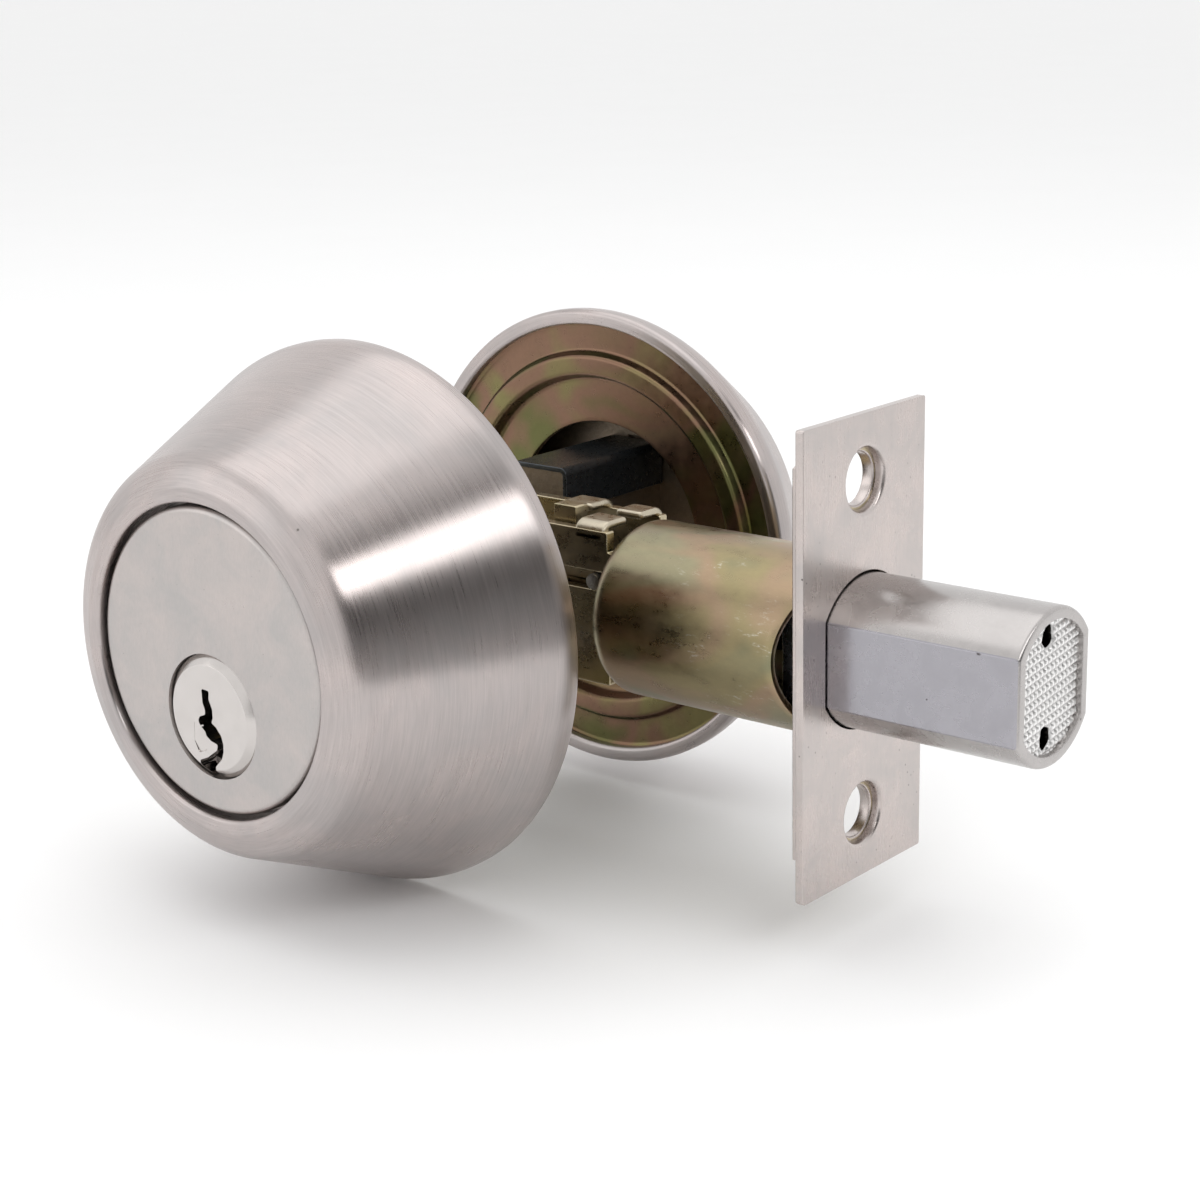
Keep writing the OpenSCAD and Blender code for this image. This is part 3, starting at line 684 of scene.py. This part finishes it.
def backing_section(r):
    """Outer flat, raised bead and sunk inner flat of the pressed ring."""
    edge, hole, draw_in = r - SHEET - 0.05, 16.5, 0.35
    well, flat, bead = 2.5, 1.7, 0.3
    door_side = [(hole, well), (22.7, well), (23.3, bead), (26.0, bead), (26.6, flat)]
    door_side += [(r - RIM_W - 0.3, flat), (edge, RIM_H + 0.05)]
    door_side = fillet(door_side, [0, 0.7, 0.75, 0.75, 0.5, 0.6, 0], 6, closed=False)
    far_side = [(hole, well + SHEET), (23.3, well + SHEET), (24.2, bead + SHEET), (25.4, bead + SHEET)]
    far_side += [(25.8, flat + SHEET), (edge - draw_in - 0.3, flat + SHEET), (edge - draw_in, 2.5)]
    far_side = fillet(far_side, [0, 0.5, 0.5, 0.5, 0.5, 0.1, 0], 4, closed=False)
    hole_edge = [(hole + 0.6, well + SHEET), (hole, well + SHEET), (hole, well), (hole + 0.6, well)]
    hole_edge = fillet(hole_edge, [0, 0.3, 0.12, 0], 3, closed=False)
    return np.vstack([spread(door_side[1:], 1.0), far_side[::-1][:-1], hole_edge])


def build_backing(name, collar, side, material):
    low, high = box_mm(collar)
    door = high[1] if side < 0 else low[1]
    loops = turned(backing_section((high[0] - low[0]) / 2), side, door, n=224)
    obj = face_outwards(new_object(name + "_ring", *loft(loops, wrap=True), origin=(AXIS_X, 0, 0)))
    finish_piece(obj, "lock_case", [name], material, angle=50, weighted=False)


# ---------- key plugs ----------

# Outline of the warded key slot, across and up from the middle of the plug.
KEYWAY = [
    (-1.15, 3.45), (0.15, 3.35), (0.02, 2.3), (0.55, 1.15), (0.55, 0.05), (0.25, -0.6), (1.0, -1.0),
    (1.85, -1.95), (2.15, -2.95), (2.1, -3.95), (1.75, -4.9), (1.15, -5.5), (0.55, -6.1), (0.5, -9.0),
    (-1.0, -9.0), (-1.0, -7.2), (-2.1, -6.5), (-2.25, -5.8), (-0.75, -5.15), (0.95, -3.95), (1.15, -3.2),
    (0.0, -2.95), (-0.8, -2.45), (-0.95, -1.95), (-1.65, -1.4), (-2.0, -1.0), (-2.05, -0.6),
    (-1.75, -0.15), (-0.8, 0.22), (-0.75, 0.8), (-1.1, 1.7),
]


def milled_facet(face, side):
    """Cutter of the sloping facet at the side of the keyway, deepest at the slot."""
    corners = [(-2.9, -0.9), (-1.7, -1.3), (-0.4, -3.2), (-0.9, -4.3), (-2.3, -4.9), (-3.0, -3.4)]
    outline = fillet(corners, 0.35, 4)
    x, z = AXIS_X - side * outline[:, 0], AXIS_Z + outline[:, 1]
    deep = 0.75 * (outline[:, 0] + 3.1) / 2.7
    loops = [np.column_stack([x, face + side * h, z]) for h in (np.full(len(deep), 1.0), -deep)]
    return face_outwards(new_object("facet", *loft(loops)))


def build_plug(name, side):
    """Bevelled head and barrel with the warded keyway cut through it."""
    low, high = box_mm(name)
    face = low[1] if side < 0 else high[1]
    head, r, bevel = 7.7, 6.35, 1.15
    length = high[1] - low[1]
    section = [(0.4, 0), (head - bevel, 0), (head, -0.95), (head, -2.55), (r, -2.55), (r, -length)]
    section = fillet(section, [0, 0.12, 0.15, 0.1, 0, 0], 4, closed=False)
    loops = turned(section, side, face, z=AXIS_Z, n=128)
    obj = face_outwards(new_object(name + "_turned", *loft(loops), origin=(AXIS_X, 0, AXIS_Z)))
    way = np.array([(AXIS_X - side * p[0], AXIS_Z + p[1]) for p in fillet(KEYWAY, 0.22, 3)])
    span = sorted((face + side, face - side * (length - 4)))
    obj = cut_away(obj, prism("way", way, *span), milled_facet(face, side))
    bevelled(obj, 0.1, 2, 50)
    obj.name = name + "_head"
    body = "outer_plug" if side < 0 else "inner_plug"
    finish_piece(obj, body, [name], MATS["plug"], angle=30)


# ---------- latch ----------


BOLT_R, BOLT_W = 9.4, 7.9


def bolt_loop(x, inset=0.0, f=0.22):
    """Round above and below, flat on both sides, with slightly broken corners."""
    r, w, n = BOLT_R - inset, BOLT_W - inset, 14
    cz = math.sqrt((r - f) ** 2 - (w - f) ** 2)
    a = math.degrees(math.atan2(cz, w - f))
    flat = np.column_stack([np.full(n - 1, w), np.linspace(-cz, cz, n + 1)[1:-1]])
    dome = arc((0, 0), r, a, 180 - a, 3 * n)[1:-1]
    half = np.vstack([flat, arc((w - f, cz), f, 0, a, 3), dome, arc((f - w, cz), f, 180 - a, 180, 3)])
    loop = np.vstack([half, -half])
    return np.column_stack([np.full(len(loop), x), loop[:, 0], loop[:, 1]])


def bolt_face(tip, rim):
    """Sunk end of the bolt: a lattice of small raised pyramids with two ragged slots."""
    step = 0.085
    half_y, half_z = BOLT_W - rim + 0.2, BOLT_R - rim + 0.2
    ys, zs = np.arange(-half_y, half_y + step, step), np.arange(-half_z, half_z + step, step)
    y, z = np.meshgrid(ys, zs, indexing="ij")
    u = (y - 0.065 * z) / 0.87
    v = (z - 0.12 * y) / 1.04
    du, dv = np.abs(u - np.round(u)) * 2, np.abs(v - np.round(v)) * 2
    height = 0.30 * np.clip(1.12 - np.maximum(du, dv) - 0.10 * (du + dv), 0, 0.7) / 0.7
    depth = np.zeros_like(height)
    for sign in (1, -1):
        py, pz = y + 0.35, z - sign * 6.0
        ang = np.arctan2(pz, py)
        ragged = 0.07 * np.cos(3 * ang + 1 + sign) + 0.05 * np.cos(5 * ang + 2.3)
        d = np.hypot(py, np.maximum(np.abs(pz) - 0.25, 0)) - (1.08 + ragged)
        depth = np.maximum(depth, np.clip(-d / 0.12, 0, 1) * 1.6)
        height *= np.clip(d / 0.4, 0, 1)
    dents = 0.02 * np.sin(9.1 * y + 3 * np.sin(5.3 * z)) * np.sin(7.7 * z + 2 * np.sin(6.1 * y))
    x = tip - FACE_SUNK + height + dents - depth
    inside = (np.hypot(y, z) < BOLT_R - rim + 0.16) & (np.abs(y) < BOLT_W - rim + 0.16)
    index = np.full(y.shape, -1)
    index[inside] = np.arange(inside.sum())
    verts = np.column_stack([x[inside], y[inside], z[inside]])
    q = np.stack([index[:-1, :-1], index[1:, :-1], index[1:, 1:], index[:-1, 1:]], -1).reshape(-1, 4)
    q = q[(q >= 0).all(1)]
    obj = face_outwards(new_object("bolt_face", verts, [tuple(f) for f in q.tolist()]))
    finish_piece(obj, "bolt", [], MATS["bolt_end"], angle=180, weighted=False)


def build_bolt():
    low, high = box_mm("bolt")
    tip, rear, rim, nose = high[0], low[0], 1.45, 0.6
    turn = np.radians(np.linspace(0, 90, 7))
    front = [bolt_loop(tip - nose + nose * math.sin(a), nose * 0.8 * (1 - math.cos(a))) for a in turn]
    body = [bolt_loop(x) for x in np.linspace(rear + 0.4, tip - nose - 0.8, 14)]
    wall = [(0, rim - 0.12), (0.04, rim - 0.03), (0.14, rim), (3.2, rim + 0.02)]
    wall = [bolt_loop(tip - deep, inset) for deep, inset in wall]
    loops = [bolt_loop(rear + 1.2, 3.5), bolt_loop(rear, 3.4), bolt_loop(rear, 0.4)] + body + front + wall
    bolt_face(tip, rim)
    obj = face_outwards(new_object("bolt_body", *loft(loops)))
    finish_piece(obj, "bolt", ["bolt"], MATS["bolt"], angle=38)


def dimple(z, front):
    """Cutter for a screw hole: flared mouth and two pressed steps."""
    mouth = np.vstack([[(4.35, 1.0), (4.35, 0.0)], arc((4.35, -0.55), 0.55, 90, 170, 5)])
    steps = [(3.72, -0.75), (3.66, -1.15), (3.4, -1.2), (3.36, -1.75), (3.2, -1.8), (3.2, -6)]
    section = np.vstack([mouth, fillet(steps, 0.08, 3, closed=False)])
    t = np.linspace(0, 2 * np.pi, 96, endpoint=False)
    y, up = np.cos(t), np.sin(t)
    loops = [np.column_stack([np.full(96, front + h), r * y, z + r * up]) for r, h in section]
    return face_outwards(new_object("dimple", *loft(loops)))


def build_faceplates():
    low, high = box_mm("faceplate")
    back_low, back_high = box_mm("faceplate_back")
    h = high - low
    screws = next(m for m in frame["record"]["mounts"] if m["name"] == "faceplate_screws")
    pitch = screws["dims"]["spacing_y_mm"] / 2
    w, t = h[1] / 2, h[2] / 2
    slot = bolt_loop(0, -0.2, f=0.3)[:, 1:]
    outline = fillet([(-w, -t), (w, -t), (w, t), (-w, t)], [0.6, 0.3, 0.25, 0.35])
    trim = plate("faceplate_trim", [outline, slot], low[0], high[0], "x", 0.1)
    trim = cut_away(trim, *[dimple(s * pitch, high[0]) for s in (-1, 1)])
    finish_piece(trim, "lock_case", ["faceplate"], MATS["trim"], angle=32)
    b = (back_high - back_low)[1:] / 2
    r = h[2] / 2 - 2.4
    turn = math.degrees(math.asin(b[0] / r))
    end = arc((0, 0), r, 90 - turn, 90 + turn, 16)
    end[:, 1] = np.minimum(end[:, 1], b[1])
    holes = [circle(3.2, (0, s * pitch), 64) for s in (-1, 1)]
    outlines = [np.vstack([end, -end]), slot] + holes
    back = plate("faceplate_back_plate", outlines, back_low[0], back_high[0] - 0.02, "x", 0.2)
    back.data.materials.append(MATS["frame"])
    back.data.materials.append(MATS["trim"])
    for p in back.data.polygons:
        y, z = p.center.y / MM, p.center.z / MM
        p.material_index = int(math.hypot(y, abs(z) - pitch) < 3.5 or abs(y) > b[0] - 1.5)
    finish_piece(back, "lock_case", ["faceplate_back"], angle=32)


def build_tube():
    """Drawn cup with a rounded closed end, a window for the frame and a saddle cut at the plate."""
    low, high = box_mm("latch_tube")
    r, wall, end = (high[2] - low[2]) / 2, 0.9, 2.6
    x0, x1, n = low[0], high[0], 240
    t = np.linspace(0, 2 * np.pi, n, endpoint=False)
    cy, cz = np.cos(t), np.sin(t)
    wy, wz = 6.4, 8.2
    reach = np.minimum(wy / np.maximum(np.abs(cy), 1e-6), wz / np.maximum(np.abs(cz), 1e-6))
    sink, half = 2.9, 8.7
    limit = x1 - sink * np.maximum(1 - (r * cz / half) ** 2, 0)

    def skin(radius, round_r, s):
        """Radius and x of one loop of a skin; s runs from 0 at the window to 1 at the straight side."""
        flat = radius - round_r
        total = flat + round_r * np.pi / 2
        in_round = flat + round_r * np.arcsin(np.clip((reach - flat) / round_r, 0, 0.999))
        start = np.where(reach < flat, reach, in_round)
        at = start + (total - start) * s
        a = np.clip((at - flat) / round_r, 0, np.pi / 2)
        rr = np.where(at < flat, at, flat + round_r * np.sin(a))
        return rr, x0 + (r - radius) + np.where(at < flat, 0, round_r * (1 - np.cos(a)))

    def loop(rr, x):
        return np.column_stack([np.broadcast_to(x, n), rr * cy, rr * cz])

    outer = [loop(*skin(r, end, s)) for s in np.linspace(0, 1, 12)]
    side = [loop(r, x0 + end + (limit - 0.16 - x0 - end) * s) for s in np.linspace(0.05, 1, 22)]
    lip = [(0.05, 0.05), (0.16, 0), (wall - 0.16, 0), (wall - 0.05, 0.05)]
    lip = [loop(r - inset, limit - back) for inset, back in lip]
    inner_r = r - wall
    bore = [loop(inner_r, x0 + end + (limit - 0.16 - x0 - end) * s) for s in np.linspace(1, 0.05, 12)]
    inner = [loop(*skin(inner_r, end - wall, s)) for s in np.linspace(1, 0, 8)]
    obj = face_outwards(new_object("latch_tube_cup", *loft(outer + side + lip + bore + inner, wrap=True)))
    finish_piece(obj, "lock_case", ["latch_tube"], MATS["tube"], angle=40, weighted=False)


def frame_outline(low, high):
    """Side plate in X and Z: rear block, round lobe at the hub and a narrower neck into the tube."""
    neck = -34.3
    lobe_r, c = 10.2, (AXIS_X, AXIS_Z)
    rise = math.degrees(math.asin(2.6 / lobe_r))
    lobe = arc(c, lobe_r, 180 + rise, 360 - rise, 24)
    rear, front, slot = low[0], high[0], AXIS_X - 3
    tail = [(neck, -9.4), (neck, -8), (front, -8), (front, 2.9), (slot, 2.9), (slot, 5.3), (front, 5.3)]
    tail += [(front, 8), (neck, 8), (neck, 10.6), (rear, 10.6), (rear, -9.4)]
    body = fillet(tail, [0.3, 0.2, 0.4, 0.3, 0.5, 0.5, 0.3, 0.4, 0.2, 0.3, 1.2, 1.2], 4)
    return np.vstack([lobe, body])


def bent_tab(x0, x1, top, side, y_out, reach, thick):
    """A tab folded over the top of a side plate, as a strip bent round a small radius."""
    r_out, r_in = thick + 0.6, 0.6
    c = (y_out - side * r_out, top + thick - r_out)

    def bend(r, a0, a1, n):
        turn = np.radians(np.linspace(a0, a1, n))
        return [(c[0] + side * r * math.cos(a), c[1] + r * math.sin(a)) for a in turn]

    path = [(y_out, top - 1.5)] + bend(r_out, 0, 90, 9)
    path += [(y_out - side * reach, top + thick), (y_out - side * reach, top)]
    path += bend(r_in, 90, 0, 4) + [(y_out - side * thick, top - 1.5)]
    path = np.array(path)
    loops = [np.column_stack([np.full(len(path), x), path]) for x in np.linspace(x0, x1, 5)]
    tab = bevelled(face_outwards(new_object("tab", *loft(loops))), 0.46, 4, 60)
    tab.data.materials.append(MATS["frame"])
    tab.data.materials.append(MATS["tab"])
    for p in tab.data.polygons:
        p.material_index = int(p.center.z / MM > top - 0.4)
    return tab


def build_frame_plate(name, side, tabs):
    low, high = box_mm(name)
    y_out = low[1] if side < 0 else high[1]
    thick, top = 1.5, 10.6
    y0, y1 = sorted((y_out, y_out - side * thick))
    leaf = [(AXIS_X - 4.6, -14.25), (AXIS_X + 4.6, -14.25), (AXIS_X + 4.6, -13.65), (AXIS_X - 4.6, -13.65)]
    holes = [circle(5.55, (AXIS_X, AXIS_Z), 72), fillet(leaf, 0.1, 2)]
    holes += [circle(2.4, (AXIS_X + s * 13.2, -4), 40) for s in (-1, 1)]
    holes += [circle(1.22, (AXIS_X + x, -6.9), 24) for x in (-17.4, 18)]
    flat = plate("side_plate", [frame_outline(low, high)] + holes, y0, y1, "y", 0.16)
    flat.data.materials.append(MATS["frame"])
    strips = [baked(bent_tab(a, b, top, side, y_out, 4.9, 1.05)) for a, b in tabs]
    obj = joined(name + "_folded", [flat] + strips)
    finish_piece(obj, "lock_case", [name], angle=35)


# ---------- pin cover ----------


def build_cover(name):
    """Bent dark sheet over the pin housing."""
    low, high = box_mm(name)
    w, top, t = (high[0] - low[0]) / 2, high[2], 0.68
    skirt = low[2]
    outline = [(-w, skirt), (-w, top), (w, top), (w, skirt)]
    outline += [(w - t, skirt), (w - t, top - t), (t - w, top - t), (t - w, skirt)]
    outline = fillet(outline, [0.12, 1.1, 1.1, 0.12, 0.12, 0.45, 0.45, 0.12], 6)
    outline[:, 0] += (low[0] + high[0]) / 2
    obj = plate(name + "_sheet", [outline], low[1], high[1], "y", 0.12)
    finish_piece(obj, "lock_case", [name], MATS["cover"], angle=35)


def dress_rest():
    """CAD nodes that keep their own shape: material and width of the softened edges."""
    for name, material, width in [
        ("outer_cylinder_body", "face_out", 0.15),
        ("inner_cylinder_body", "face_in", 0.15),
        ("outer_key_pins", "brass", 0.1),
        ("inner_key_pins", "brass", 0.1),
        ("outer_driver_pins", "brass", 0.1),
        ("inner_driver_pins", "brass", 0.1),
        ("outer_pin_springs", "spring", 0),
        ("inner_pin_springs", "spring", 0),
        ("outer_plug_clip", "spring", 0.12),
        ("inner_plug_clip", "spring", 0.12),
        ("tail_bar", "steel", 0.25),
        ("through_screws", "steel", 0.2),
        ("frame_rivets", "frame", 0.3),
        ("hub_crank", "steel", 0.25),
        ("detent_spring", "spring", 0.1),
        ("bolt_bar", "frame", 0.2),
        ("guide_pin", "steel", 0.2),
        ("bar_rivet", "steel", 0.2),
        ("hardened_pins", "steel", 0.2),
    ]:
        dress_node(name, MATS[material], width)


# ---------- studio ----------


def build_floor():
    """Pale floor under the object."""
    z = (cad_box[0].z - 0.0004) / MM
    x0, x1, y0, y1, r = -20000, 140, -1500, 30000, 60
    outline = fillet([(x0, y0), (x1, y0), (x1, y1), (x0, y1)], r, 12)
    floor = plate("floor", [outline], z - 8, z, "z", 1.0)
    t = Tree("pale_floor", metallic=0.0, roughness=0.75)
    grain = t.noise(t.place, 0.02, 3.0)
    colour = t.mix(grain, rgba((0.965, 0.965, 0.965)), rgba((0.985, 0.985, 0.985)))
    floor.data.materials.append(t.set(Base_Color=colour))


def area_light(name, at, towards, size, level):
    """A soft box; level is how bright its face looks, where 1 is white."""
    data = bpy.data.lights.new(name, "AREA")
    data.shape, data.size, data.size_y = "RECTANGLE", size[0] * MM, size[1] * MM
    data.energy = level * math.pi * data.size * data.size_y
    obj = bpy.data.objects.new(name, data)
    obj.location = Vector(at) * MM
    obj.rotation_mode = "QUATERNION"
    obj.rotation_quaternion = (Vector(towards) - Vector(at)).to_track_quat("-Z", "Y")
    bpy.context.scene.collection.objects.link(obj)
    return obj


def build_world():
    """Soft pale surroundings with a darker belt to the right of the object."""
    world = bpy.data.worlds.new("studio")
    bpy.context.scene.world = world
    world.use_nodes = True
    nodes, links = world.node_tree.nodes, world.node_tree.links
    nodes.clear()
    out, back = nodes.new("ShaderNodeOutputWorld"), nodes.new("ShaderNodeBackground")
    links.new(back.outputs[0], out.inputs[0])
    coord, split = nodes.new("ShaderNodeTexCoord"), nodes.new("ShaderNodeSeparateXYZ")
    links.new(coord.outputs["Generated"], split.inputs[0])

    def calc(op, a, b=0.0, clamp=False):
        n = nodes.new("ShaderNodeMath")
        n.operation, n.use_clamp = op, clamp
        for k, v in enumerate((a, b)):
            if isinstance(v, bpy.types.NodeSocket):
                links.new(v, n.inputs[k])
            else:
                n.inputs[k].default_value = v
        return n.outputs[0]

    x, y, z = split.outputs
    to_right = calc("MULTIPLY", calc("SUBTRACT", x, 0.40), 4.5, True)
    to_front = calc("MULTIPLY", calc("SUBTRACT", 0.5, y), 3.5, True)
    high = calc("MULTIPLY", calc("SUBTRACT", z, 0.70), 3.0, True)
    low = calc("MULTIPLY", calc("SUBTRACT", 0.30, z), 2.2, True)
    shade_off = calc("MULTIPLY", calc("ADD", high, low), 0.42)
    belt = calc("MULTIPLY", calc("MULTIPLY", to_right, to_front), calc("SUBTRACT", 1.0, shade_off))
    level = calc("SUBTRACT", 1.04, calc("MULTIPLY", belt, 0.99))
    links.new(level, back.inputs["Strength"])
    back.inputs["Color"].default_value = (1.0, 1.0, 1.0, 1)


def build_lights():
    centre = (AXIS_X, 0, 0)
    area_light("right_strip", (445, -90, 405), (AXIS_X, -40, 0), (560, 160), 3.6)
    area_light("top_box", (-160, 20, 620), centre, (760, 600), 0.62)
    area_light("left_front", (-520, -620, 260), centre, (520, 420), 0.55)


def build_camera():
    """The viewing angle and the distance that the plate's perspective in the picture gives."""
    azimuth, elevation, roll = math.radians(39.95), math.radians(15.75), math.radians(-1.31)
    level, height = math.cos(elevation), math.sin(elevation)
    back = Vector((math.sin(azimuth) * level, -math.cos(azimuth) * level, height))
    side = Vector((math.cos(azimuth), math.sin(azimuth), 0))
    up = back.cross(side)
    side, up = side * math.cos(roll) + up * math.sin(roll), up * math.cos(roll) - side * math.sin(roll)
    data = bpy.data.cameras.new("camera")
    data.sensor_width, data.lens = 36.0, 72.42
    data.clip_start, data.clip_end = 0.01, 20
    cam = bpy.data.objects.new("camera", data)
    facing = Matrix((side, up, back)).transposed().to_4x4()
    cam.matrix_world = Matrix.Translation((0.1519, -0.2300, 0.0841)) @ facing
    bpy.context.scene.collection.objects.link(cam)
    bpy.context.scene.camera = cam


def build_object():
    build_collar("outer_collar", -1)
    build_collar("inner_collar", 1)
    build_backing("outer_backing_plate", "outer_collar", -1, MATS["ring_out"])
    build_backing("inner_backing_plate", "inner_collar", 1, MATS["ring_in"])
    build_plug("outer_key_plug", -1)
    build_plug("inner_key_plug", 1)
    build_bolt()
    build_faceplates()
    build_tube()
    build_frame_plate("near_frame_plate", -1, [(AXIS_X + 20.6, AXIS_X + 25.4)])
    build_frame_plate("far_frame_plate", 1, [(AXIS_X + 12.6, AXIS_X + 17.4), (AXIS_X + 21.4, AXIS_X + 25.6)])
    build_cover("outer_pin_cover")
    build_cover("inner_pin_cover")
    dress_rest()


build_object()
build_floor()
build_world()
build_lights()
build_camera()
bpy.context.scene.view_settings.view_transform = "Standard"
